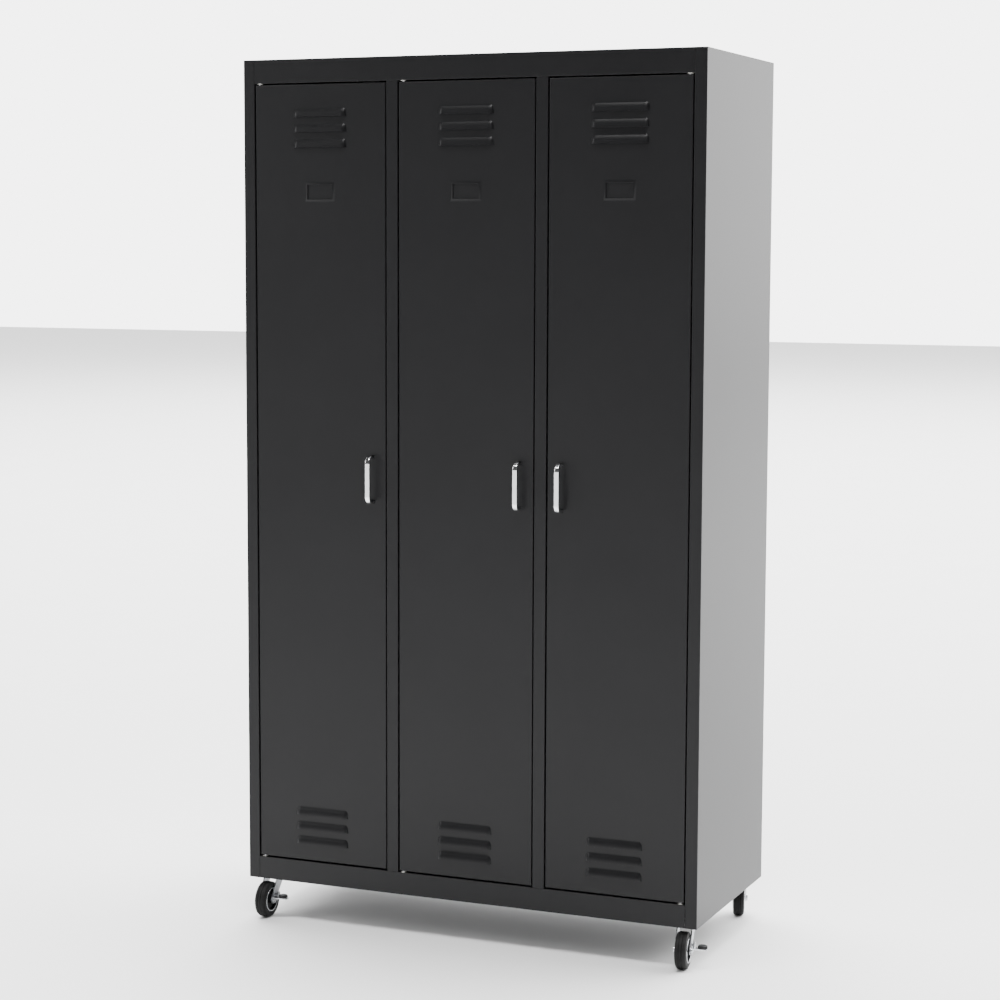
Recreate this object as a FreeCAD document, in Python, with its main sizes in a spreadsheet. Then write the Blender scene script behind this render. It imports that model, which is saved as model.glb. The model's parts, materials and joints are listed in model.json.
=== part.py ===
import FreeCAD, Part
import math
import operator
import os
from types import SimpleNamespace

import Sketcher

# A three-door steel locker cabinet on four swivel casters. Millimetres.
# Frame: +Z up, +X to the right, the doors face -Y. The origin lies on the
# floor under the middle of the body.

DRIVING_SIZES = [
    # folded steel body
    ("BodyWidth", 1000, "outside width"),
    ("BodyDepth", 440, "outside depth"),
    ("BodyHeight", 1715, "height of the body alone"),
    ("FloorGap", 85, "floor to the body's lower edge"),
    ("SheetThick", 1, "steel sheet"),
    ("StileWidth", 25, "front flange of a side panel"),
    ("MullionWidth", 25, "post between two doors"),
    ("TopRail", 48, "band above the doors"),
    ("BottomRail", 47, "band below the doors"),
    ("BottomHem", 15, "inward fold along the band's lower edge"),
    ("JambDepth", 20, "depth of the folds round a door"),
    ("TopLipDepth", 40, "depth of the fold above the doors"),
    ("BackFlange", 15, "fold of a side panel round the back"),
    ("FloorRaise", 16, "body's lower edge to the floor panel"),
    ("BendRadius", 1.5, "outside radius of a visible fold"),
    ("FoldRadius", 0.9, "outside radius of a band's fold"),
    ("AnchorSpacing", 900, "between the two wall anchor holes"),
    ("AnchorDrop", 100, "wall anchor holes below the top"),
    ("AnchorRadius", 4, "wall anchor hole"),
    # inside
    ("ShelfDrop", 360, "shelf below the top"),
    ("ShelfSetback", 30, "shelf behind the front face"),
    ("ShelfFold", 18, "front fold of a shelf"),
    ("RailDrop", 55, "hanging rail's axis below its shelf"),
    ("RailRadius", 8, "hanging rail"),
    ("SocketRadius", 14, "rail socket flange"),
    ("SocketDepth", 10, "rail socket"),
    ("CatchWidth", 44, "magnetic catch"),
    ("CatchDepth", 17, "magnetic catch"),
    ("CatchHeight", 14, "magnetic catch"),
    ("MagnetWidth", 30, "magnet bar"),
    ("MagnetHeight", 6, "magnet bar"),
    ("MagnetDepth", 8, "magnet bar"),
    # doors
    ("DoorGap", 2.5, "beside a door"),
    ("DoorEndGap", 3, "above and below a door"),
    ("DoorThick", 18, "door pan"),
    ("DoorRecess", 1, "door face behind the body's front"),
    ("DoorLip", 14, "inward fold round the back of a door"),
    ("DoorEdge", 2, "rounding of a door's front edges"),
    ("PinInset", 8, "hinge axis from the door's hinge edge"),
    ("PinDepth", 6, "hinge axis behind the door's face"),
    ("PinRadius", 3, "hinge pin"),
    ("PinReach", 8, "hinge pin beyond the door"),
    ("PinInside", 22, "hinge pin inside the door"),
    ("PinCollar", 4.5, "radius of the collar on a pin"),
    ("PinClearance", 0.05, "radial, pin in bush"),
    ("BushRadius", 4.5, "bush body"),
    ("BushFlange", 6, "bush flange radius"),
    ("BushFlangeThick", 1, "bush flange"),
    ("StiffenerWidth", 60, "channel behind the door face"),
    ("StiffenerFoot", 150, "channel's lower end above the door's"),
    ("StiffenerHead", 150, "channel's upper end below the door's"),
    # louvres: hoods pressed out of the door face, open downwards
    ("LouvreWidth", 118, "hood"),
    ("LouvreHeight", 18, "hood"),
    ("LouvreProud", 6, "hood in front of the face"),
    ("LouvrePitch", 31, "from hood to hood"),
    ("LouvreRows", 3, "hoods in a group"),
    ("LouvreOverrun", 1.6, "degrees, a hood runs on into the sheet"),
    ("LouvreTopDrop", 48, "uppermost hood's top below the door's"),
    ("LouvreFoot", 35, "lowest hood's mouth above the door's lower end"),
    # raised card frame on the face
    ("CardWidth", 70, "card frame"),
    ("CardHeight", 43, "card frame"),
    ("CardProud", 2, "card frame in front of the face"),
    ("CardBevel", 5, "sloped border of the card frame"),
    ("CardWindowWidth", 56, "window in the card frame"),
    ("CardWindowHeight", 29, "window in the card frame"),
    ("CardDrop", 218, "middle of the card frame below the door's top"),
    # bow handle
    ("HandleLength", 99, "overall"),
    ("HandleWide", 10, "bow"),
    ("HandleProud", 28, "in front of the door"),
    ("HandleGrip", 8, "thickness of the bow"),
    ("HandleFoot", 8, "leg of the bow"),
    ("HandleInset", 32, "handle's middle from the opening edge"),
    ("HandleRise", 812, "handle's middle above the door's lower end"),
    ("HandleCorner", 16, "outer corner of the bow"),
    ("HandleRounding", 2.4, "long edges of the bow"),
    ("ScrewRadius", 2, "handle screw"),
    ("ScrewDepth", 12, "handle screw in the leg"),
    ("ScrewHeadRadius", 4, "handle screw"),
    ("ScrewHeadThick", 2.6, "handle screw"),
    ("ScrewClearance", 0.2, "radial, screw in the door face"),
    # swivel casters
    ("CasterInset", 36, "swivel axis from the side"),
    ("CasterSetback", 45, "swivel axis from the front or the back"),
    ("WheelRadius", 37.5, "tyre"),
    ("TyreWidth", 24, "tyre"),
    ("TyreThick", 11.5, "tyre, from hub to tread"),
    ("HubWidth", 26, "hub"),
    ("BarrelWall", 5, "hub's barrel"),
    ("RimWall", 4, "hub's rim"),
    ("GrooveAcross", 3, "tread groove from the tyre's middle"),
    ("GrooveWide", 1.4, "tread groove"),
    ("GrooveDeep", 1.2, "tread groove"),
    ("Trail", 34, "axle behind the swivel axis"),
    ("AxleRadius", 4, "axle"),
    ("AxleClearance", 0.05, "radial, axle in hub"),
    ("AxleHeadRadius", 7, "axle head and nut"),
    ("AxleHeadThick", 3, "axle head and nut"),
    ("ForkThick", 2.5, "fork sheet"),
    ("ForkGap", 0.6, "between hub and fork leg"),
    ("ForkCrown", 7.5, "fork's underside above the tyre"),
    ("ForkBossRadius", 16, "raised boss on the fork"),
    ("RaceRadius", 20, "race under the plate"),
    ("RaceWall", 3.5, "race under the plate"),
    ("RunningGap", 0.4, "between turning faces"),
    ("PlateThick", 3, "caster plate"),
    ("PlateSize", 48, "caster plate, square"),
    ("PlateHoles", 36, "between plate bolts"),
    ("BoltRadius", 3, "plate bolt"),
    ("BoltHeadRadius", 5.2, "plate bolt, over the corners"),
    ("BoltHeadThick", 3.5, "plate bolt"),
    ("KingpinRadius", 5, "kingpin"),
    ("KingpinHead", 9, "kingpin head radius"),
    ("KingpinHeadThick", 3, "kingpin head"),
    ("BrakePivotBack", 22, "lever's stud behind the swivel axis"),
    ("BrakePivotRise", 8.5, "lever's stud above the axle"),
    ("BrakeStudRadius", 3, "lever's stud"),
    ("BrakeLength", 20, "stud to the lever's far end"),
    ("BrakeThick", 2.5, "lever sheet"),
    ("PedalDrop", 2, "pedal tab below the stud"),
    ("PedalReach", 30, "pedal out from the lever"),
    ("PedalWide", 12, "pedal tab"),
    ("PadLength", 19, "pad on the pedal"),
    ("PadWide", 18, "pad on the pedal"),
    ("PadThick", 7, "pad on the pedal"),
    ("YawFrontLeft", 180, "degrees, where each caster points"),
    ("YawFrontRight", 188, "degrees"),
    ("YawRearLeft", 5, "degrees"),
    ("YawRearRight", 17, "degrees"),
]

doc = FreeCAD.newDocument("LockerCabinet")
sheet = doc.addObject("Spreadsheet::Sheet", "Sizes")
sub_parts = []

OPERATORS = {"+": operator.add, "-": operator.sub, "*": operator.mul, "/": operator.truediv}


class Measure:
    """A size that knows its number and the sheet formula it comes from."""

    def __init__(self, number, formula):
        self.number = float(number)
        self.formula = formula

    def _join(self, sign, first, second):
        first, second = measure(first), measure(second)
        number = OPERATORS[sign](first.number, second.number)
        return Measure(number, f"({first.formula} {sign} {second.formula})")

    def __add__(self, other):
        return self._join("+", self, other)

    def __radd__(self, other):
        return self._join("+", other, self)

    def __sub__(self, other):
        return self._join("-", self, other)

    def __rsub__(self, other):
        return self._join("-", other, self)

    def __mul__(self, other):
        return self._join("*", self, other)

    def __rmul__(self, other):
        return self._join("*", other, self)

    def __truediv__(self, other):
        return self._join("/", self, other)

    def __neg__(self):
        return self._join("*", -1, self)


def measure(value):
    if isinstance(value, Measure):
        return value
    return Measure(value, f"{float(value):.6g}")


def fill_sheet():
    """Write the driving sizes and return them as measures."""
    measures = {}
    for row, (alias, number, note) in enumerate(DRIVING_SIZES, start=1):
        sheet.set(f"A{row}", alias)
        sheet.set(f"B{row}", str(number))
        sheet.setAlias(f"B{row}", alias)
        sheet.set(f"C{row}", note)
        measures[alias] = Measure(number, f"Sizes.{alias}")
    doc.recompute()
    return SimpleNamespace(**measures)


S = fill_sheet()


# ---------------------------------------------------------------- helpers

def bind(thing, name, value):
    """Drive one property, or one sketch constraint, from the sheet."""
    value = measure(value)
    thing.setExpression(name, value.formula)


def place(thing, x=0, y=0, z=0, rotation=None):
    """Stand a sub-part at a point that follows the sheet."""
    x, y, z = measure(x), measure(y), measure(z)
    point = FreeCAD.Vector(x.number, y.number, z.number)
    thing.Placement = FreeCAD.Placement(point, rotation or FreeCAD.Rotation())
    for axis, value in zip("xyz", (x, y, z)):
        bind(thing, f"Placement.Base.{axis}", value)


def finished(thing, label):
    """Name a sub-part and put it on the list of nodes."""
    thing.Label = label
    sub_parts.append(thing)
    return thing


def box(x, y, z, name="Box"):
    """A block between two values along each axis, given as pairs."""
    block = doc.addObject("Part::Box", name)
    for side, (low, high) in zip(("Length", "Width", "Height"), (x, y, z)):
        bind(block, side, high - low)
    place(block, x[0], y[0], z[0])
    return block


UP = FreeCAD.Rotation()
ALONG_X = FreeCAD.Rotation(FreeCAD.Vector(0, 1, 0), 90)
ALONG_Y = FreeCAD.Rotation(FreeCAD.Vector(1, 0, 0), -90)


def rod(radius, length, start, rotation=UP, name="Rod"):
    """A cylinder from a start point along Z, or along the turned Z."""
    cylinder = doc.addObject("Part::Cylinder", name)
    bind(cylinder, "Radius", radius)
    bind(cylinder, "Height", length)
    place(cylinder, *start, rotation=rotation)
    return cylinder


def hexagon(radius, height, start, name="Hexagon"):
    """An upright six-sided prism from a start point, its size taken over the corners."""
    prism = doc.addObject("Part::Prism", name)
    prism.Polygon = 6
    bind(prism, "Circumradius", radius)
    bind(prism, "Height", height)
    place(prism, *start)
    return prism


def fuse(shapes, name="Fuse"):
    joined = doc.addObject("Part::MultiFuse", name)
    joined.Shapes = shapes
    joined.Refine = True
    return joined


def cut(base, tool, name="Cut"):
    result = doc.addObject("Part::Cut", name)
    result.Base = base
    result.Tool = tool
    return result


def group(shapes, label):
    """Several like pieces kept as separate solids in one node."""
    together = doc.addObject("Part::Compound", label)
    together.Links = shapes
    return finished(together, label)


def new_body(label):
    return finished(doc.addObject("PartDesign::Body", label), label)


def new_sketch(body, plane, level=0, shift=(0, 0)):
    """A sketch on one of the body's own planes, lifted along that plane's row axis."""
    sketch = body.newObject("Sketcher::SketchObject", "Sketch")
    origin_plane = [f for f in body.Origin.OriginFeatures if f.Role == f"{plane}_Plane"][0]
    sketch.AttachmentSupport = [(origin_plane, "")]
    sketch.MapMode = "FlatFace"
    lift = -measure(level) if plane == "XZ" else measure(level)
    for axis, value in zip("xyz", (shift[0], shift[1], lift)):
        bind(sketch, f"AttachmentOffset.Base.{axis}", value)
    return sketch


ORIGIN_POINT = (-1, 1)


def pin_point(sketch, element, point, u, v):
    """Hold one sketch point at two driven distances from the sketch's origin."""
    for kind, value in (("DistanceX", measure(u)), ("DistanceY", measure(v))):
        constraint = Sketcher.Constraint(kind, *ORIGIN_POINT, element, point, value.number)
        index = sketch.addConstraint(constraint)
        bind(sketch, f"Constraints[{index}]", value)


def polygon(sketch, corners):
    """A closed outline through driven corners."""
    points = [FreeCAD.Vector(measure(u).number, measure(v).number, 0) for u, v in corners]
    lines = []
    for start, end in zip(points, points[1:] + points[:1]):
        lines.append(sketch.addGeometry(Part.LineSegment(start, end), False))
    for line, following in zip(lines, lines[1:] + lines[:1]):
        sketch.addConstraint(Sketcher.Constraint("Coincident", line, 2, following, 1))
    for line, (u, v) in zip(lines, corners):
        pin_point(sketch, line, 1, u, v)


def circle(sketch, u, v, radius):
    u, v, radius = measure(u), measure(v), measure(radius)
    centre = FreeCAD.Vector(u.number, v.number, 0)
    ring = sketch.addGeometry(Part.Circle(centre, FreeCAD.Vector(0, 0, 1), radius.number), False)
    pin_point(sketch, ring, 3, u, v)
    index = sketch.addConstraint(Sketcher.Constraint("Radius", ring, radius.number))
    bind(sketch, f"Constraints[{index}]", radius)


def rectangle(u, v):
    return [(u[0], v[0]), (u[1], v[0]), (u[1], v[1]), (u[0], v[1])]


def extrude(body, plane, span, outlines=(), circles=(), remove=False):
    """Pad or pocket outlines between two levels along the plane's row axis."""
    low, high = span
    sketch = new_sketch(body, plane, low)
    for corners in outlines:
        polygon(sketch, corners)
    for ring in circles:
        circle(sketch, *ring)
    feature = body.newObject("PartDesign::Pocket" if remove else "PartDesign::Pad", "Extrude")
    feature.Profile = sketch
    bind(feature, "Length", high - low)
    feature.Reversed = (plane == "XZ") != remove
    check_change(body, feature, remove)
    return feature


def turn(body, corners, centre, angle, remove=False, reverse=False):
    """Turn an outline, drawn in a level plane, about a line along X through the centre."""
    across, height, shift = centre
    sketch = new_sketch(body, "XY", height, shift=(across, shift))
    polygon(sketch, corners)
    feature = body.newObject("PartDesign::Groove" if remove else "PartDesign::Revolution", "Turn")
    feature.Profile = sketch
    feature.ReferenceAxis = (sketch, ["H_Axis"])
    bind(feature, "Angle", angle)
    feature.Reversed = reverse
    return feature


def check_change(body, feature, remove):
    """A cut has to take material away and a pad has to add some."""
    before = feature.BaseFeature.Shape.Volume if feature.BaseFeature else 0.0
    doc.recompute()
    gain = feature.Shape.Volume - before
    if (gain >= 0) if remove else (gain <= 0):
        raise RuntimeError(f"{body.Label}: {feature.Name} changes nothing")


def round_edges(body, radius, wanted):
    """Fillet the edges that a test on their two end points picks."""
    tip = body.Tip
    names = []
    for number, edge in enumerate(tip.Shape.Edges, start=1):
        ends = [vertex.Point for vertex in edge.Vertexes]
        if len(ends) == 2 and wanted(*ends):
            names.append(f"Edge{number}")
    fillet = body.newObject("PartDesign::Fillet", "Round")
    fillet.Base = (tip, names)
    bind(fillet, "Radius", radius)
    doc.recompute()
    return fillet


def near(first, second):
    return abs(first - measure(second).number) < 1e-4


# ---------------------------------------------------------------- places

half_width = S.BodyWidth / 2
half_depth = S.BodyDepth / 2
front = -half_depth
back = half_depth
base = S.FloorGap
top = S.FloorGap + S.BodyHeight
T = S.SheetThick

opening_width = (S.BodyWidth - 2 * S.StileWidth - 2 * S.MullionWidth) / 3
opening_low = base + S.BottomRail
opening_high = top - S.TopRail
jamb_back = front + S.JambDepth
floor_under = base + S.FloorRaise
floor_top = floor_under + T
mullion_middle = (opening_width + S.MullionWidth) / 2
door_width = opening_width - 2 * S.DoorGap
door_height = opening_high - opening_low - 2 * S.DoorEndGap
door_face = front + S.DoorRecess
door_foot = opening_low + S.DoorEndGap
pin_line = door_face + S.PinDepth
shelf_top = top - S.ShelfDrop
back_inner = back - 2 * T

BAY_NAMES = ("left", "middle", "right")
HINGE_SIDES = {"left": -1, "middle": -1, "right": 1}
bay_middles = dict(zip(BAY_NAMES, (-(opening_width + S.MullionWidth), measure(0),
                                   opening_width + S.MullionWidth)))
# inner faces of the side panels and of the two partitions, left to right
bay_walls = {
    "left": (-half_width + T, -mullion_middle - T / 2),
    "middle": (-mullion_middle + T / 2, mullion_middle - T / 2),
    "right": (mullion_middle + T / 2, half_width - T),
}


def hinge_across(bay):
    """Row X of a door's hinge axis."""
    side = HINGE_SIDES[bay]
    return bay_middles[bay] + side * (door_width / 2 - S.PinInset)


# ---------------------------------------------------------------- body

def side_panel(name, side):
    """A folded C: front flange and jamb, wall, back flange."""
    def at(across):
        return side * (half_width - across)

    body = new_body(name)
    corners = [
        (at(0), front), (at(S.StileWidth), front), (at(S.StileWidth), jamb_back),
        (at(S.StileWidth - T), jamb_back), (at(S.StileWidth - T), front + T), (at(T), front + T),
        (at(T), back - T), (at(S.BackFlange), back - T), (at(S.BackFlange), back), (at(0), back),
    ]
    extrude(body, "XY", (base, top - T), [corners])

    def outer_fold(start, end):
        upright = near(start.x, end.x) and near(start.y, end.y)
        at_wall = near(start.x, at(0)) and (near(start.y, front) or near(start.y, back))
        return upright and (at_wall or near(start.x, at(S.StileWidth)) and near(start.y, front))

    round_edges(body, S.BendRadius, outer_fold)
    return body


def top_panel():
    """Roof sheet, front band and the fold above the doors."""
    body = new_body("top_panel")
    inner = (-half_width + S.StileWidth, half_width - S.StileWidth)
    extrude(body, "XY", (top - T, top), [rectangle((-half_width, half_width), (front, back))])
    lip_back = front + S.TopLipDepth
    profile = [
        (front, opening_high), (lip_back, opening_high), (lip_back, top - T),
        (lip_back - T, top - T), (lip_back - T, opening_high + T), (front + T, opening_high + T),
        (front + T, top - T), (front, top - T),
    ]
    extrude(body, "YZ", inner, [profile])
    holes = [(hinge_across(bay), pin_line, S.BushRadius) for bay in BAY_NAMES]
    extrude(body, "XY", (opening_high, opening_high + T), circles=holes, remove=True)

    def lower_front(start, end):
        return (near(start.y, front) and near(end.y, front)
                and near(start.z, opening_high) and near(end.z, opening_high))

    round_edges(body, S.FoldRadius, lower_front)
    return body


def caster_places():
    """Name, row X and Y of the swivel axis, and the way the caster points."""
    x = half_width - S.CasterInset
    y = half_depth - S.CasterSetback
    return [
        ("front_left", -x, -y, S.YawFrontLeft),
        ("front_right", x, -y, S.YawFrontRight),
        ("rear_left", -x, y, S.YawRearLeft),
        ("rear_right", x, y, S.YawRearRight),
    ]


def bolt_places():
    spread = S.PlateHoles / 2
    return [(x + i * spread, y + j * spread)
            for _, x, y, _ in caster_places() for i in (-1, 1) for j in (-1, 1)]


def bottom_panel():
    """Front band with its hem, the fold below the doors, and the floor."""
    body = new_body("bottom_panel")
    inner = (-half_width + S.StileWidth, half_width - S.StileWidth)
    wall = jamb_back - T
    profile = [
        (front, base), (front + S.BottomHem, base), (front + S.BottomHem, base + T),
        (front + T, base + T), (front + T, opening_low - T), (wall, opening_low - T),
        (wall, floor_under), (jamb_back, floor_under), (jamb_back, opening_low), (front, opening_low),
    ]
    extrude(body, "YZ", inner, [profile])
    sheet_area = rectangle((-half_width + T, half_width - T), (jamb_back, back_inner))
    extrude(body, "XY", (floor_under, floor_top), [sheet_area])
    holes = [(hinge_across(bay), pin_line, S.BushRadius) for bay in BAY_NAMES]
    extrude(body, "XY", (opening_low - T, opening_low), circles=holes, remove=True)
    bolt_holes = [(x, y, S.BoltRadius) for x, y in bolt_places()]
    extrude(body, "XY", (floor_under, floor_top), circles=bolt_holes, remove=True)

    def front_edges(start, end):
        level = near(start.z, base) or near(start.z, opening_low)
        return near(start.y, front) and near(end.y, front) and level and near(start.z, end.z)

    round_edges(body, S.FoldRadius, front_edges)
    return body


def back_panel():
    body = new_body("back_panel")
    inner = (-half_width + T, half_width - T)
    extrude(body, "XZ", (back_inner, back - T), [rectangle(inner, (base, top - T))])
    holes = [(side * S.AnchorSpacing / 2, top - S.AnchorDrop, S.AnchorRadius) for side in (-1, 1)]
    extrude(body, "XZ", (back_inner, back - T), circles=holes, remove=True)
    return body


def partition(name, side):
    """A post between two doors with the dividing sheet behind it."""
    middle = side * mullion_middle
    half = S.MullionWidth / 2
    body = new_body(name)
    outer = rectangle((middle - half, middle + half), (front, jamb_back))
    extrude(body, "XY", (opening_low, opening_high), [outer])

    def front_edges(start, end):
        return near(start.y, front) and near(end.y, front) and near(start.x, end.x)

    round_edges(body, S.BendRadius, front_edges)
    hollow = rectangle((middle - half + T, middle + half - T), (front + T, jamb_back - T))
    extrude(body, "XY", (opening_low, opening_high), [hollow], remove=True)
    web = (middle - T / 2, middle + T / 2)
    extrude(body, "XY", (floor_top, opening_high), [rectangle(web, (jamb_back, back_inner))])
    above = rectangle(web, (front + S.TopLipDepth, back_inner))
    extrude(body, "XY", (opening_high, top - T), [above])
    return body


def shelf(bay):
    """A sheet with a fold down along its front edge."""
    body = new_body(f"shelf_{bay}")
    edge = front + S.ShelfSetback
    profile = [
        (edge, shelf_top - S.ShelfFold), (edge + T, shelf_top - S.ShelfFold), (edge + T, shelf_top - T),
        (back_inner, shelf_top - T), (back_inner, shelf_top), (edge, shelf_top),
    ]
    extrude(body, "YZ", bay_walls[bay], [profile])
    return body


def hanging_rail(bay):
    low, high = bay_walls[bay]
    height = shelf_top - S.RailDrop
    start = (low + T, measure(0), height)
    return finished(rod(S.RailRadius, high - low - 2 * T, start, ALONG_X), f"hanging_rail_{bay}")


def rail_sockets():
    """A flanged cup on each wall holds each end of a hanging rail."""
    height = shelf_top - S.RailDrop
    cups = []
    for bay in BAY_NAMES:
        low, high = bay_walls[bay]
        for wall, inward in ((low, 1), (high, -1)):
            start = wall if inward > 0 else wall - T
            sleeve = wall if inward > 0 else wall - S.SocketDepth
            flange = rod(S.SocketRadius, T, (start, measure(0), height), ALONG_X)
            cup = rod(S.RailRadius + T, S.SocketDepth, (sleeve, measure(0), height), ALONG_X)
            seat = wall + T if inward > 0 else wall - S.SocketDepth
            bore = rod(S.RailRadius, S.SocketDepth - T, (seat, measure(0), height), ALONG_X)
            cups.append(cut(fuse([flange, cup]), bore))
    return group(cups, "rail_sockets")


def pivot_bushes():
    """A flanged nylon bush in the folds above and below each door."""
    bushes = []
    bore = S.PinRadius + S.PinClearance
    length = S.PinReach
    for bay in BAY_NAMES:
        x = hinge_across(bay)
        for level, up in ((opening_low, -1), (opening_high, 1)):
            flange_low = level if up < 0 else level - S.BushFlangeThick
            sleeve_low = level - length if up < 0 else level
            hole_low = level - length if up < 0 else flange_low
            flange = rod(S.BushFlange, S.BushFlangeThick, (x, pin_line, flange_low))
            sleeve = rod(S.BushRadius, length, (x, pin_line, sleeve_low))
            hole = rod(bore, length + S.BushFlangeThick, (x, pin_line, hole_low))
            bushes.append(cut(fuse([flange, sleeve]), hole))
    return group(bushes, "pivot_bushes")


def catch_across(bay):
    """Row X of a catch, towards the door's opening edge."""
    return bay_middles[bay] - HINGE_SIDES[bay] * (opening_width / 2 - S.CatchWidth)


catch_face = door_face + S.DoorThick + S.RunningGap


def magnet_catches():
    """A catch hangs under the fold above each door, behind the door's back edge."""
    catches = []
    for bay in BAY_NAMES:
        x = catch_across(bay)
        half = S.CatchWidth / 2
        low = opening_high - S.CatchHeight
        case = box((x - half, x + half), (catch_face, catch_face + S.CatchDepth), (low, opening_high))
        catches.append(cut(case, magnet_bar(bay)))
    return group(catches, "magnet_catches")


def magnet_bar(bay):
    x = catch_across(bay)
    half = S.MagnetWidth / 2
    middle = opening_high - S.CatchHeight / 2
    low = middle - S.MagnetHeight / 2
    return box((x - half, x + half), (catch_face, catch_face + S.MagnetDepth),
               (low, low + S.MagnetHeight))


# ---------------------------------------------------------------- doors
# A door's own frame: x from its middle, y from its face backwards, z from its foot.

half_door = door_width / 2
louvre_radius = (S.LouvreHeight * S.LouvreHeight + S.LouvreProud * S.LouvreProud) / (2 * S.LouvreProud)


# a hood's end, from its side inwards: parts of its height along and below the crown
HOOD_END = ((0, 1), (0.12, 0.62), (0.38, 0.3), (0.9, 0.06), (1.5, 0))


def hood_outline(radius, half, inner):
    """Half plan of a hood about its turning axis, with rounded corners at its ends."""
    corner = S.LouvreProud
    end = [(half - corner * along, -(radius - corner * below)) for along, below in HOOD_END]
    start = [(-across, level) for across, level in end]
    return [(-half, -inner)] + start + end[::-1] + [(half, -inner)]


def louvres(body, mouth, remove):
    """A group of hoods, or the hollows behind them, from a lowest mouth upwards."""
    axis_back = louvre_radius - S.LouvreProud
    half = S.LouvreWidth / 2
    if remove:
        outline = hood_outline(louvre_radius - T, half - T, axis_back - 3 * T)
    else:
        outline = hood_outline(louvre_radius, half, axis_back - T / 2)
    sweep = math.degrees(math.acos(axis_back.number / louvre_radius.number))
    sweep = Measure(sweep, f"(acos({axis_back.formula} / {louvre_radius.formula}) / 1 deg)")
    angle = sweep + S.LouvreOverrun
    feature = turn(body, outline, (measure(0), mouth, axis_back), angle, remove, reverse=True)
    doc.recompute()
    pattern = body.newObject("PartDesign::LinearPattern", "Rows")
    pattern.Originals = [feature]
    pattern.Direction = ([f for f in body.Origin.OriginFeatures if f.Role == "Z_Axis"][0], [""])
    bind(pattern, "Length", (S.LouvreRows - 1) * S.LouvrePitch)
    bind(pattern, "Occurrences", S.LouvreRows)
    body.Tip = pattern
    doc.recompute()
    return pattern


def door_panel(bay):
    """A folded pan with louvres, a card frame and holes for pins and handle screws."""
    hinge = HINGE_SIDES[bay]
    body = new_body(f"door_{bay}")
    width = (-half_door, half_door)
    extrude(body, "XZ", (measure(0), S.DoorThick), [rectangle(width, (measure(0), door_height))])

    def face_edges(start, end):
        return near(start.y, 0) and near(end.y, 0)

    round_edges(body, S.DoorEdge, face_edges)
    mouths = (S.LouvreFoot,
              door_height - S.LouvreTopDrop - S.LouvreHeight - (S.LouvreRows - 1) * S.LouvrePitch)
    for mouth in mouths:
        louvres(body, mouth, remove=False)
    inner = rectangle((-half_door + T, half_door - T), (T, door_height - T))
    extrude(body, "XZ", (T, S.DoorThick - T), [inner], remove=True)
    lip = S.DoorLip
    way_in = rectangle((-half_door + lip, half_door - lip), (lip, door_height - lip))
    extrude(body, "XZ", (S.DoorThick - T, S.DoorThick), [way_in], remove=True)
    for mouth in mouths:
        louvres(body, mouth, remove=True)
    card_frame(body)
    pin_x = hinge * (half_door - S.PinInset)
    pin_hole = [(pin_x, S.PinDepth, S.PinRadius)]
    extrude(body, "XY", (measure(0), T), circles=pin_hole, remove=True)
    extrude(body, "XY", (door_height - T, door_height), circles=pin_hole, remove=True)
    hole = S.ScrewRadius + S.ScrewClearance
    screws = [(handle_across(bay), height, hole) for height in handle_screw_heights()]
    extrude(body, "XZ", (measure(0), T), circles=screws, remove=True)
    return body


def card_frame(body):
    """A raised frame, sloped on the outside, with a window down to the face."""
    middle = door_height - S.CardDrop
    half_w, half_h = S.CardWidth / 2 - S.CardBevel, S.CardHeight / 2 - S.CardBevel
    land = rectangle((-half_w, half_w), (middle - half_h, middle + half_h))
    frame = extrude(body, "XZ", (-S.CardProud, measure(0)), [land])
    frame.setExpression("TaperAngle", "atan(Sizes.CardBevel / Sizes.CardProud)")
    doc.recompute()
    half_w, half_h = S.CardWindowWidth / 2, S.CardWindowHeight / 2
    window = rectangle((-half_w, half_w), (middle - half_h, middle + half_h))
    extrude(body, "XZ", (-S.CardProud, measure(0)), [window], remove=True)


def handle_across(bay):
    return -HINGE_SIDES[bay] * (half_door + S.DoorGap - S.HandleInset)


def handle_screw_heights():
    reach = (S.HandleLength - S.HandleFoot) / 2
    return [S.HandleRise - reach, S.HandleRise + reach]


def place_on_door(thing, bay, x=0, y=0, z=0):
    place(thing, bay_middles[bay] + x, door_face + y, door_foot + z)


def stiffener(bay):
    """A channel spot-welded behind the door face."""
    body = new_body(f"door_stiffener_{bay}")
    half = S.StiffenerWidth / 2
    depth = S.DoorThick - 2 * T
    profile = [
        (-half, T), (-half + T, T), (-half + T, depth - T), (half - T, depth - T), (half - T, T),
        (half, T), (half, depth), (-half, depth),
    ]
    extrude(body, "XY", (S.StiffenerFoot, door_height - S.CardDrop - S.StiffenerHead), [profile])
    return body


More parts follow.
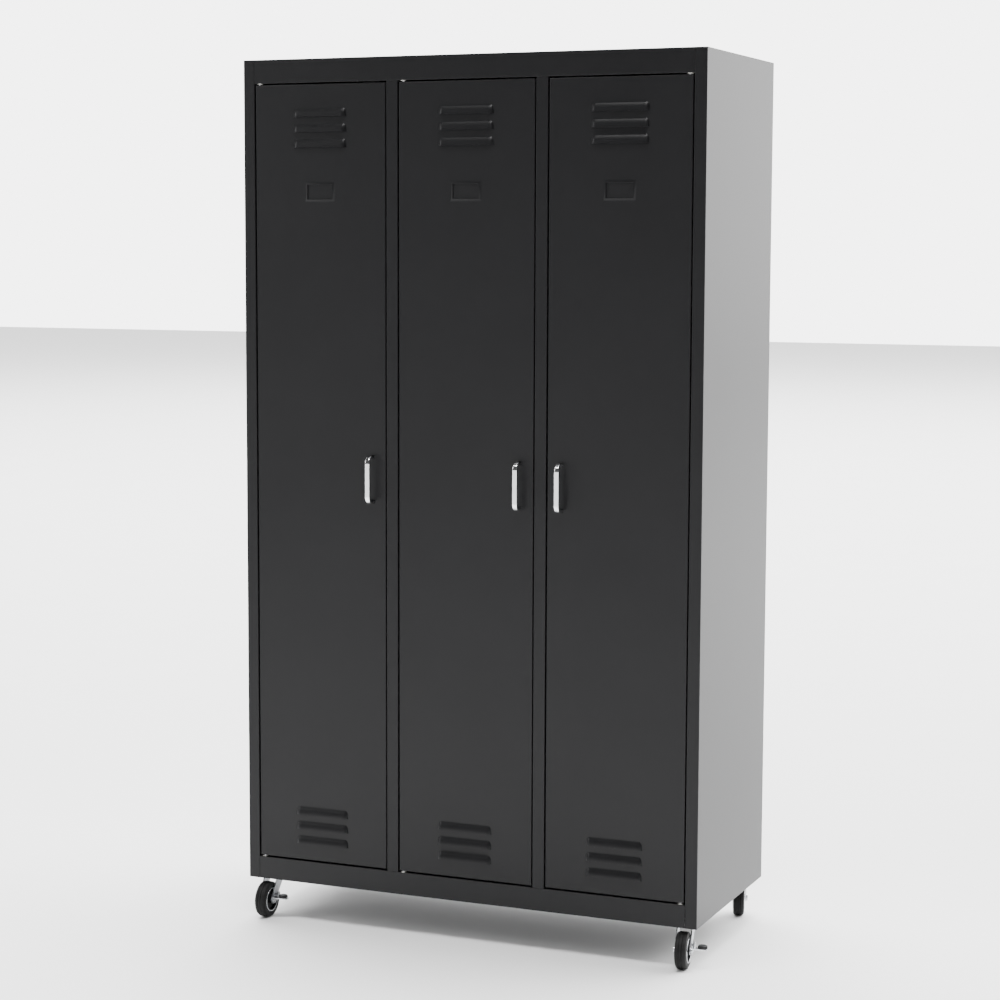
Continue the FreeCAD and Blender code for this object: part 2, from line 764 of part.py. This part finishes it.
def handle(bay):
    """A bow with rounded corners, each leg bored for a screw."""
    body = new_body(f"handle_{bay}")
    half = S.HandleLength / 2
    wide = S.HandleWide / 2
    grip = S.HandleGrip - S.HandleProud
    leg = half - S.HandleFoot
    bow = [
        (-S.HandleProud, -half), (measure(0), -half), (measure(0), -leg), (grip, -leg),
        (grip, leg), (measure(0), leg), (measure(0), half), (-S.HandleProud, half),
    ]
    extrude(body, "YZ", (-wide, wide), [bow])

    def across(start, end):
        return near(start.y, end.y) and near(start.z, end.z)

    round_edges(body, S.HandleCorner,
                lambda a, b: across(a, b) and near(a.y, -S.HandleProud))
    round_edges(body, S.HandleCorner - S.HandleGrip,
                lambda a, b: across(a, b) and near(a.y, grip))

    def long_edges(start, end):
        on_side = near(abs(start.x), wide) and near(start.x, end.x)
        return on_side and not (near(start.y, 0) and near(end.y, 0))

    round_edges(body, S.HandleRounding, long_edges)
    reach = (S.HandleLength - S.HandleFoot) / 2
    bores = [(measure(0), end * reach, S.ScrewRadius) for end in (-1, 1)]
    extrude(body, "XZ", (-S.ScrewDepth, measure(0)), circles=bores, remove=True)
    return body


def handle_screws(bay):
    """Two screws come from inside the door into the legs."""
    screws = []
    x = bay_middles[bay] + handle_across(bay)
    for height in handle_screw_heights():
        z = door_foot + height
        shank = rod(S.ScrewRadius, S.ScrewDepth + T, (x, door_face - S.ScrewDepth, z), ALONG_Y)
        head = rod(S.ScrewHeadRadius, S.ScrewHeadThick, (x, door_face + T, z), ALONG_Y)
        screws.append(fuse([shank, head]))
    return group(screws, f"handle_screws_{bay}")


def hinge_pin(bay, end):
    """A pin through the door's folded end, with a collar against the fold's inside."""
    reach, inside = S.PinReach, S.PinInside
    body = new_body(f"hinge_pin_{end}_{bay}")
    collar_thick = 2 * T
    if end == "top":
        spans = (door_height - inside, door_height + reach)
        collar = (door_height - T - collar_thick, door_height - T)
    else:
        spans = (-reach, inside)
        collar = (T, T + collar_thick)
    extrude(body, "XY", spans, circles=[(measure(0), measure(0), S.PinRadius)])
    extrude(body, "XY", collar, circles=[(measure(0), measure(0), S.PinCollar)])

    def tip_edge(edge_z):
        return near(edge_z, door_height + reach) if end == "top" else near(edge_z, -reach)

    pin = body.Tip
    names = [f"Edge{number}" for number, edge in enumerate(pin.Shape.Edges, start=1)
             if len(edge.Vertexes) == 1 and tip_edge(edge.Vertexes[0].Z)]
    chamfer = body.newObject("PartDesign::Chamfer", "TipChamfer")
    chamfer.Base = (pin, names)
    bind(chamfer, "Size", S.PinRadius / 5)
    doc.recompute()
    return body


def door_assembly(bay):
    place_on_door(door_panel(bay), bay)
    place_on_door(stiffener(bay), bay)
    place_on_door(handle(bay), bay, x=handle_across(bay), z=S.HandleRise)
    handle_screws(bay)
    pin_x = HINGE_SIDES[bay] * (half_door - S.PinInset)
    for end in ("top", "bottom"):
        place_on_door(hinge_pin(bay, end), bay, x=pin_x, y=S.PinDepth)


# ---------------------------------------------------------------- casters
# A caster's own frame: origin on the floor under the swivel axis, x along the axle,
# y towards the axle. The whole caster is then turned about Z.

axle_height = S.WheelRadius
hub_radius = S.WheelRadius - S.TyreThick
crown_low = 2 * S.WheelRadius + S.ForkCrown
crown_high = crown_low + S.ForkThick
plate_low = floor_under - S.PlateThick
leg_inner = S.HubWidth / 2 + S.ForkGap
leg_outer = leg_inner + S.ForkThick


def place_caster(thing, x, y, yaw):
    place(thing, x, y, 0, rotation=FreeCAD.Rotation(FreeCAD.Vector(0, 0, 1), yaw.number))


def wheel_ring(name, profile):
    """A ring turned about the axle from a half section (across, radius)."""
    body = new_body(name)
    turn(body, profile, (measure(0), axle_height, S.Trail), measure(360))
    doc.recompute()
    return body


# a tyre's edge, from its side to its tread: parts of the shoulder inwards and below the tread
TYRE_EDGE = ((0, 1.4), (0.4, 0.4), (1, 0.1), (1.6, 0))


def tyre(name):
    """A tyre with rounded shoulders and two tread grooves."""
    half = S.TyreWidth / 2
    shoulder = S.TyreWidth / 6
    outer = S.WheelRadius
    edge = [(half - shoulder * across, outer - shoulder * below) for across, below in TYRE_EDGE]
    groove = S.GrooveAcross
    wide = S.GrooveWide / 2
    floor = outer - S.GrooveDeep
    grooves = [(groove + wide, outer), (groove + wide, floor), (groove - wide, floor), (groove - wide, outer)]
    right = [(half, hub_radius)] + edge + grooves
    left = [(-across, level) for across, level in right]
    return wheel_ring(name, right + left[::-1])


def hub(name):
    """A moulded wheel centre: barrel, thin web and rim."""
    bore = S.AxleRadius + S.AxleClearance
    half = S.HubWidth / 2
    rim = S.TyreWidth / 2
    barrel = bore + S.BarrelWall
    web = S.TyreWidth / 4
    ring = hub_radius - S.RimWall
    profile = [
        (-half, bore), (half, bore), (half, barrel), (web, barrel), (web, ring), (rim, ring),
        (rim, hub_radius), (-rim, hub_radius), (-rim, ring), (-web, ring), (-web, barrel),
        (-half, barrel),
    ]
    return wheel_ring(name, profile)


def axle(name):
    """A bolt through both fork legs, with its head and its nut outside them."""
    head = leg_outer + S.AxleHeadThick
    profile = [
        (-head, measure(0)), (head, measure(0)), (head, S.AxleHeadRadius), (leg_outer, S.AxleHeadRadius),
        (leg_outer, S.AxleRadius), (-leg_outer, S.AxleRadius), (-leg_outer, S.AxleHeadRadius),
        (-head, S.AxleHeadRadius),
    ]
    return wheel_ring(name, profile)


def fork(name):
    """Crown with a raised boss, and two legs that sweep out to the axle."""
    body = new_body(name)
    crown_front = -S.ForkBossRadius
    crown_back = S.ForkBossRadius
    extrude(body, "XY", (crown_low, crown_high),
            [rectangle((-leg_outer, leg_outer), (crown_front, crown_back))])
    foot = S.AxleHeadRadius + 2
    leg = [
        (crown_front, crown_low), (S.Trail - foot, axle_height - foot * 0.3),
        (S.Trail - foot * 0.6, axle_height - foot * 0.8), (S.Trail, axle_height - foot),
        (S.Trail + foot * 0.6, axle_height - foot * 0.8), (S.Trail + foot, axle_height),
        (S.Trail + foot * 0.8, axle_height + foot * 0.6), (crown_back, crown_low + S.ForkThick / 2),
    ]
    for side in (-1, 1):
        span = (-leg_outer, -leg_inner) if side < 0 else (leg_inner, leg_outer)
        extrude(body, "YZ", span, [leg])
    boss_top = plate_low - S.RunningGap
    extrude(body, "XY", (crown_high, boss_top),
            circles=[(measure(0), measure(0), S.ForkBossRadius)])
    bore = S.KingpinRadius + S.AxleClearance
    extrude(body, "XY", (crown_low, boss_top), circles=[(measure(0), measure(0), bore)], remove=True)
    axle_hole = [(S.Trail, axle_height, S.AxleRadius)]
    extrude(body, "YZ", (-leg_outer, leg_outer), circles=axle_hole, remove=True)
    return body


brake_side = -(leg_outer + S.AxleHeadThick + S.RunningGap)
pivot_height = axle_height + S.BrakePivotRise
pedal_high = pivot_height - S.PedalDrop
pedal_back = S.BrakePivotBack + S.BrakeLength
pedal_end = brake_side - S.PedalReach


def brake_lever(name):
    """A bent plate outside the left leg: stud, arm and a tab that sticks out sideways."""
    body = new_body(name)
    eye = S.BrakeStudRadius * 2
    stud_back = S.BrakePivotBack
    arm = [
        (stud_back - eye, pivot_height - eye / 2), (stud_back - eye / 2, pivot_height - eye),
        (stud_back + eye / 2, pivot_height - eye), (pedal_back, pedal_high - eye),
        (pedal_back, pedal_high), (pedal_back - S.PedalWide, pedal_high),
        (stud_back + eye / 2, pivot_height + eye), (stud_back - eye / 2, pivot_height + eye),
        (stud_back - eye, pivot_height + eye / 2),
    ]
    extrude(body, "YZ", (brake_side - S.BrakeThick, brake_side), [arm])
    tab = rectangle((pedal_end, brake_side), (pedal_back - S.PedalWide, pedal_back))
    extrude(body, "XY", (pedal_high - S.BrakeThick, pedal_high), [tab])
    stud = [(stud_back, pivot_height, S.BrakeStudRadius)]
    extrude(body, "YZ", (brake_side, -leg_outer), circles=stud)
    return body


def brake_pad(name):
    """A moulded foot pad on top of the lever's tab."""
    body = new_body(name)
    middle = pedal_back - S.PedalWide / 2
    half = S.PadWide / 2
    inner = pedal_end + S.PadLength
    outline = [
        (inner, middle - half / 2), (inner - S.PadLength / 4, middle - half),
        (pedal_end + S.PadLength / 3, middle - half), (pedal_end, middle - half / 3),
        (pedal_end, middle + half / 3), (pedal_end + S.PadLength / 3, middle + half),
        (inner - S.PadLength / 4, middle + half), (inner, middle + half / 2),
    ]
    extrude(body, "XY", (pedal_high, pedal_high + S.PadThick), [outline])

    def level_edges(start, end):
        return near(start.z, end.z)

    round_edges(body, S.PadThick / 3, level_edges)
    return body


def caster(name, x, y, yaw):
    pieces = [fork(f"caster_fork_{name}"), hub(f"wheel_hub_{name}"),
              tyre(f"wheel_tyre_{name}"), axle(f"wheel_axle_{name}")]
    if name.startswith("front"):
        pieces += [brake_lever(f"brake_lever_{name}"), brake_pad(f"brake_pad_{name}")]
    for piece in pieces:
        place_caster(piece, x, y, yaw)


def caster_plates():
    """Square plates with the swivel race, bolted under the floor panel."""
    plates = []
    half = S.PlateSize / 2
    holes = bolt_places()
    for index, (_, x, y, _) in enumerate(caster_places()):
        plate = box((x - half, x + half), (y - half, y + half), (plate_low, floor_under))
        race_low = crown_high + S.RunningGap
        race = rod(S.RaceRadius, plate_low - race_low, (x, y, race_low))
        inside = rod(S.RaceRadius - S.RaceWall, plate_low - race_low, (x, y, race_low))
        drills = [rod(S.BoltRadius, S.PlateThick, (bx, by, plate_low))
                  for bx, by in holes[4 * index:4 * index + 4]]
        drills.append(rod(S.KingpinRadius, S.PlateThick, (x, y, plate_low)))
        plates.append(cut(fuse([plate, cut(race, inside)]), fuse(drills)))
    return group(plates, "caster_plates")


def kingpins():
    """Rivets that hang each fork under its plate."""
    pins = []
    head_top = crown_low - S.RunningGap
    for _, x, y, _ in caster_places():
        shank = rod(S.KingpinRadius, floor_under - head_top, (x, y, head_top))
        head = rod(S.KingpinHead, S.KingpinHeadThick, (x, y, head_top - S.KingpinHeadThick))
        pins.append(fuse([shank, head]))
    return group(pins, "kingpins")


def caster_bolts():
    """Heads on top of the floor panel, nuts under the plates."""
    bolts = []
    for x, y in bolt_places():
        nut_low = plate_low - S.BoltHeadThick
        shank = rod(S.BoltRadius, floor_top - nut_low, (x, y, nut_low))
        head = hexagon(S.BoltHeadRadius, S.BoltHeadThick, (x, y, floor_top))
        nut = hexagon(S.BoltHeadRadius, S.BoltHeadThick, (x, y, nut_low))
        bolts.append(fuse([shank, head, nut]))
    return group(bolts, "caster_bolts")


# ---------------------------------------------------------------- assembly

side_panel("side_panel_left", -1)
side_panel("side_panel_right", 1)
top_panel()
bottom_panel()
back_panel()
partition("partition_left", -1)
partition("partition_right", 1)
for bay_name in BAY_NAMES:
    shelf(bay_name)
    hanging_rail(bay_name)
rail_sockets()
pivot_bushes()
magnet_catches()
group([magnet_bar(bay_name) for bay_name in BAY_NAMES], "catch_magnets")
for bay_name in BAY_NAMES:
    door_assembly(bay_name)
for caster_name, caster_x, caster_y, caster_yaw in caster_places():
    caster(caster_name, caster_x, caster_y, caster_yaw)
caster_plates()
kingpins()
caster_bolts()

doc.recompute()

for thing in doc.Objects:
    if "Invalid" in thing.State or "Error" in thing.State:
        raise RuntimeError(f"{thing.Label} did not compute: {thing.State}")
for piece in sub_parts:
    if piece.Shape.isNull() or not piece.Shape.isValid():
        raise RuntimeError(f"{piece.Label} has no valid shape")

os.makedirs("parts", exist_ok=True)
for piece in sub_parts:
    piece.Shape.exportStep(os.path.join("parts", f"{piece.Label}.step"))
print(f"{len(sub_parts)} sub-parts written")
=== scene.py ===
import json
import math

import bpy
from mathutils import Matrix, Vector


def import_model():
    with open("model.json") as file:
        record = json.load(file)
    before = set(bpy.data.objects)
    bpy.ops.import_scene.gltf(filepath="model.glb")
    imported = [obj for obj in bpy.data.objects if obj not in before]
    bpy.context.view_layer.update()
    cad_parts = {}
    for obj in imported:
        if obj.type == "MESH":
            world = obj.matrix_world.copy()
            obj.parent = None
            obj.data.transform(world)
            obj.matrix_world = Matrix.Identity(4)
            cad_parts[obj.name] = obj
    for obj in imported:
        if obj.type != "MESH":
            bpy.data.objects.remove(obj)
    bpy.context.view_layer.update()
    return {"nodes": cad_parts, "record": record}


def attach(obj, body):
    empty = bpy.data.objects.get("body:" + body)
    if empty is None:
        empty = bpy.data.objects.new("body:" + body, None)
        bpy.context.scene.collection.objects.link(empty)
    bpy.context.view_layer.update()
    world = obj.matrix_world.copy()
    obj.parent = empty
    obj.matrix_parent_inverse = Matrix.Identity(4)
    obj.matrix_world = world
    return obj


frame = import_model()
record = frame["record"]
nodes = frame["nodes"]

MM = 0.001
CASTERS = ("front_left", "front_right", "rear_left", "rear_right")

# the band that a noise's values mostly lie in
NOISE_LOW, NOISE_HIGH = 0.3, 0.7

WELD_DISTANCE = 0.004 * MM
FLAT_ANGLE = math.radians(0.4)

# bright lip on a wheel's rim
LIP_RADIUS = 24.2 * MM
LIP_THICKNESS = 0.8 * MM
LIP_ACROSS = 12.0 * MM

FLOOR_HALF = 30.0


# ---------------------------------------------------------------- materials

def new_material(name):
    """A node material and its Principled shader."""
    material = bpy.data.materials.new(name)
    material.use_nodes = True
    shader = material.node_tree.nodes["Principled BSDF"]
    return material, shader


def add(material, kind, **settings):
    """Add a node; each setting is an input's value or else an attribute."""
    node = material.node_tree.nodes.new(kind)
    for key, value in settings.items():
        if key in node.inputs:
            node.inputs[key].default_value = value
        else:
            setattr(node, key, value)
    return node


def link(material, source, target):
    material.node_tree.links.new(source, target)


def noise(material, scale, detail=3.0, roughness=0.5, stretch=(1, 1, 1)):
    """Noise in object space, in metres, with its own mapping."""
    place = add(material, "ShaderNodeTexCoord")
    mapping = add(material, "ShaderNodeMapping")
    mapping.inputs["Scale"].default_value = stretch
    link(material, place.outputs["Object"], mapping.inputs["Vector"])
    texture = add(material, "ShaderNodeTexNoise", Scale=scale, Detail=detail, Roughness=roughness)
    link(material, mapping.outputs["Vector"], texture.inputs["Vector"])
    return texture.outputs["Fac"]


def ramp(material, source, low, high):
    """Map the middle of a noise's values onto a band of values."""
    spread = add(material, "ShaderNodeMapRange")
    spread.inputs["From Min"].default_value = NOISE_LOW
    spread.inputs["From Max"].default_value = NOISE_HIGH
    spread.inputs["To Min"].default_value = low
    spread.inputs["To Max"].default_value = high
    link(material, source, spread.inputs["Value"])
    return spread.outputs["Result"]


def two_tone(material, source, dark, light):
    """Mix two colours by a 0 to 1 value."""
    mixer = add(material, "ShaderNodeMix", data_type="RGBA")
    mixer.inputs["A"].default_value = (*dark, 1)
    mixer.inputs["B"].default_value = (*light, 1)
    link(material, source, mixer.inputs["Factor"])
    return mixer.outputs["Result"]


def bump(material, shader, layers):
    """Stack bump layers, each (height source, strength, distance in metres)."""
    normal = None
    for source, strength, distance in layers:
        node = add(material, "ShaderNodeBump", Strength=strength, Distance=distance)
        link(material, source, node.inputs["Height"])
        if normal is not None:
            link(material, normal, node.inputs["Normal"])
        normal = node.outputs["Normal"]
    link(material, normal, shader.inputs["Normal"])


def powder_coat():
    """Satin black powder coat: fine orange peel, soft waves of thin sheet."""
    material, shader = new_material("black_powder_coat")
    tone = noise(material, 5.0, 4.0)
    fine = noise(material, 900.0, 2.0)
    peel = noise(material, 420.0, 2.0)
    wave = noise(material, 2.6, 1.0, stretch=(1.0, 1.0, 0.45))
    link(material, two_tone(material, tone, (0.0062, 0.0062, 0.0068), (0.0088, 0.0088, 0.0095)),
         shader.inputs["Base Color"])
    link(material, ramp(material, fine, 0.30, 0.40), shader.inputs["Roughness"])
    shader.inputs["IOR"].default_value = 1.29
    bump(material, shader, [(wave, 0.25, 0.0016), (peel, 0.16, 0.00012), (fine, 0.12, 0.00004)])
    return material


def plated(name, dark, light, rough, spangle=0.0):
    """Bright plated metal with faint streaks, and spangle where it is zinc."""
    material, shader = new_material(name)
    streak = noise(material, 160.0, 3.0, stretch=(1.0, 1.0, 0.12))
    cloud = noise(material, 60.0, 3.0)
    link(material, two_tone(material, cloud, dark, light), shader.inputs["Base Color"])
    link(material, ramp(material, streak, *rough), shader.inputs["Roughness"])
    shader.inputs["Metallic"].default_value = 1.0
    layers = [(streak, 0.03, 0.00001)]
    if spangle:
        layers.append((cloud, spangle, 0.00015))
    bump(material, shader, layers)
    return material


def moulded(name, dark, light, rough, grain, strength):
    """Rubber or plastic with a fine moulded grain."""
    material, shader = new_material(name)
    cloud = noise(material, 45.0, 3.0)
    fine = noise(material, grain, 3.0, 0.6)
    link(material, two_tone(material, cloud, dark, light), shader.inputs["Base Color"])
    link(material, ramp(material, cloud, *rough), shader.inputs["Roughness"])
    shader.inputs["Specular IOR Level"].default_value = 0.2
    bump(material, shader, [(fine, strength, 0.00012)])
    return material


MATERIALS = {
    "black_paint": powder_coat(),
    "chrome": plated("polished_chrome", (0.80, 0.81, 0.82), (0.90, 0.90, 0.91), (0.05, 0.12)),
    "bright_steel": plated("bright_steel", (0.54, 0.54, 0.55), (0.62, 0.62, 0.63), (0.34, 0.4)),
    "zinc_plate": plated("zinc_plate", (0.50, 0.51, 0.53), (0.72, 0.73, 0.75), (0.22, 0.36), 0.12),
    "zinc_fastener": plated("zinc_fastener", (0.48, 0.48, 0.48), (0.64, 0.63, 0.6),
                            (0.28, 0.42), 0.1),
    "tyre": moulded("black_rubber", (0.005, 0.005, 0.005), (0.010, 0.010, 0.010),
                    (0.55, 0.72), 1400, 0.35),
    "black_plastic": moulded("black_plastic", (0.007, 0.007, 0.008), (0.012, 0.012, 0.013),
                             (0.34, 0.5), 1800, 0.25),
    "nylon": moulded("nylon", (0.62, 0.61, 0.56), (0.72, 0.71, 0.67), (0.35, 0.5), 1500, 0.15),
    "catch_plastic": moulded("catch_plastic", (0.03, 0.03, 0.032), (0.042, 0.042, 0.045),
                             (0.4, 0.55), 1600, 0.2),
    "magnet": moulded("ferrite", (0.05, 0.05, 0.052), (0.08, 0.08, 0.083), (0.55, 0.7), 2200, 0.4),
}

# width of the small round on the edges of each kind of piece
EDGE_ROUNDS = {
    "black_paint": 0.35 * MM,
    "zinc_plate": 0.4 * MM,
    "black_plastic": 0.5 * MM,
    "tyre": 0.4 * MM,
    "zinc_fastener": 0.3 * MM,
    "catch_plastic": 0.4 * MM,
    "nylon": 0.2 * MM,
    "magnet": 0.2 * MM,
    "bright_steel": 0.25 * MM,
    "chrome": 0.0,
}


def refine(piece, width, angle=35):
    """Soften the edges with modifiers, leaving the mesh itself as it is."""
    for face in piece.data.polygons:
        face.use_smooth = True
    weld = piece.modifiers.new("Weld", "WELD")
    weld.merge_threshold = WELD_DISTANCE
    flat = piece.modifiers.new("Flat faces", "DECIMATE")
    flat.decimate_type = "DISSOLVE"
    flat.angle_limit = FLAT_ANGLE
    if width:
        bevel = piece.modifiers.new("Bevel", "BEVEL")
        bevel.width = width
        bevel.segments = 2
        bevel.limit_method = "ANGLE"
        bevel.angle_limit = math.radians(angle)
        bevel.use_clamp_overlap = True
    piece.modifiers.new("Normals", "WEIGHTED_NORMAL")


def finish_nodes():
    """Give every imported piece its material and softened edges."""
    for entry in record["subparts"]:
        piece = nodes[entry["node"]]
        slot = entry["material_slot"]
        piece.data.materials.clear()
        piece.data.materials.append(MATERIALS[slot])
        refine(piece, EDGE_ROUNDS[slot])


finish_nodes()


# ---------------------------------------------------------------- added detail

def rim_lips():
    """A thin bright lip pressed round both sides of every wheel's rim."""
    joints = {joint["child"]: joint for joint in record["behaviour"]["joints"]}
    for caster in CASTERS:
        joint = joints[f"wheel_{caster}"]
        centre = Vector(joint["pos_m"])
        axis = Vector(joint["axis"]).normalized()
        turn = axis.to_track_quat("Z", "Y").to_matrix().to_4x4()
        for side in (-1, 1):
            bpy.ops.mesh.primitive_torus_add(major_segments=64, minor_segments=10,
                                             major_radius=LIP_RADIUS, minor_radius=LIP_THICKNESS)
            lip = bpy.context.object
            lip.name = f"rim_lip_{caster}_{'right' if side > 0 else 'left'}"
            lip.matrix_world = Matrix.Translation(centre + axis * side * LIP_ACROSS) @ turn
            for face in lip.data.polygons:
                face.use_smooth = True
            lip.data.materials.append(MATERIALS["zinc_plate"])
            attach(lip, f"wheel_{caster}")


rim_lips()


# ---------------------------------------------------------------- stage

def floor():
    """A plain pale floor."""
    size = FLOOR_HALF
    mesh = bpy.data.meshes.new("studio_floor")
    corners = [(-size, -size, 0), (size, -size, 0), (size, size, 0), (-size, size, 0)]
    mesh.from_pydata(corners, [], [(0, 1, 2, 3)])
    plane = bpy.data.objects.new("studio_floor", mesh)
    bpy.context.collection.objects.link(plane)
    material, shader = new_material("pale_floor")
    grain = noise(material, 3.0, 2.0)
    link(material, two_tone(material, grain, (0.86, 0.86, 0.86), (0.89, 0.89, 0.89)),
         shader.inputs["Base Color"])
    shader.inputs["Roughness"].default_value = 0.9
    shader.inputs["Specular IOR Level"].default_value = 0.1
    mesh.materials.append(material)


def world():
    """A bright sweep behind the object and a dimmer room in front of it."""
    surroundings = bpy.data.worlds.new("studio")
    bpy.context.scene.world = surroundings
    surroundings.use_nodes = True
    tree = surroundings.node_tree
    background = tree.nodes["Background"]
    place = tree.nodes.new("ShaderNodeTexCoord")
    split = tree.nodes.new("ShaderNodeSeparateXYZ")
    tree.links.new(place.outputs["Generated"], split.inputs["Vector"])
    spread = tree.nodes.new("ShaderNodeMapRange")
    spread.interpolation_type = "SMOOTHSTEP"
    spread.inputs["From Min"].default_value = -0.1
    spread.inputs["From Max"].default_value = 0.65
    spread.inputs["To Min"].default_value = 0.1
    spread.inputs["To Max"].default_value = 5.5
    tree.links.new(split.outputs["Y"], spread.inputs["Value"])
    tree.links.new(spread.outputs["Result"], background.inputs["Strength"])
    background.inputs["Color"].default_value = (1.0, 1.0, 1.0, 1.0)


def softbox(name, location, target, size, power, spread=180):
    """A rectangular area light aimed at a point; its spread is in degrees."""
    light = bpy.data.lights.new(name, "AREA")
    light.spread = math.radians(spread)
    light.shape = "RECTANGLE"
    light.size, light.size_y = size
    light.energy = power
    lamp = bpy.data.objects.new(name, light)
    lamp.location = location
    direction = Vector(target) - Vector(location)
    lamp.rotation_mode = "QUATERNION"
    lamp.rotation_quaternion = direction.to_track_quat("-Z", "Y")
    bpy.context.collection.objects.link(lamp)


def lights():
    softbox("key_left", (-4.2, -3.0, 3.0), (0, 0, 1.2), (2.4, 3.0), 115)
    softbox("overhead", (0.8, 9.0, 8.0), (0.8, 9.0, 0), (24.0, 18.0), 7500)
    softbox("floor_front", (0.1, -1.3, 3.4), (0.0, -0.8, 0), (2.2, 0.8), 26, spread=70)


def camera():
    """At the photograph's angle, with no shift."""
    azimuth, elevation, roll = math.radians(22.97), math.radians(6.09), math.radians(0.21)
    spot = Vector((1.929, -4.591, 1.424))
    forward = Vector((-math.sin(azimuth) * math.cos(elevation),
                      math.cos(azimuth) * math.cos(elevation), -math.sin(elevation)))
    right = forward.cross(Vector((0, 0, 1))).normalized()
    up = right.cross(forward)
    side = right * math.cos(roll) + up * math.sin(roll)
    top = up * math.cos(roll) - right * math.sin(roll)
    data = bpy.data.cameras.new("camera")
    data.sensor_width = 36.0
    data.lens = 85.9
    data.clip_start = 0.05
    data.clip_end = 100.0
    eye = bpy.data.objects.new("camera", data)
    turn = Matrix((side, top, -forward)).transposed()
    eye.matrix_world = Matrix.Translation(spot) @ turn.to_4x4()
    bpy.context.collection.objects.link(eye)
    bpy.context.scene.camera = eye


floor()
world()
lights()
camera()
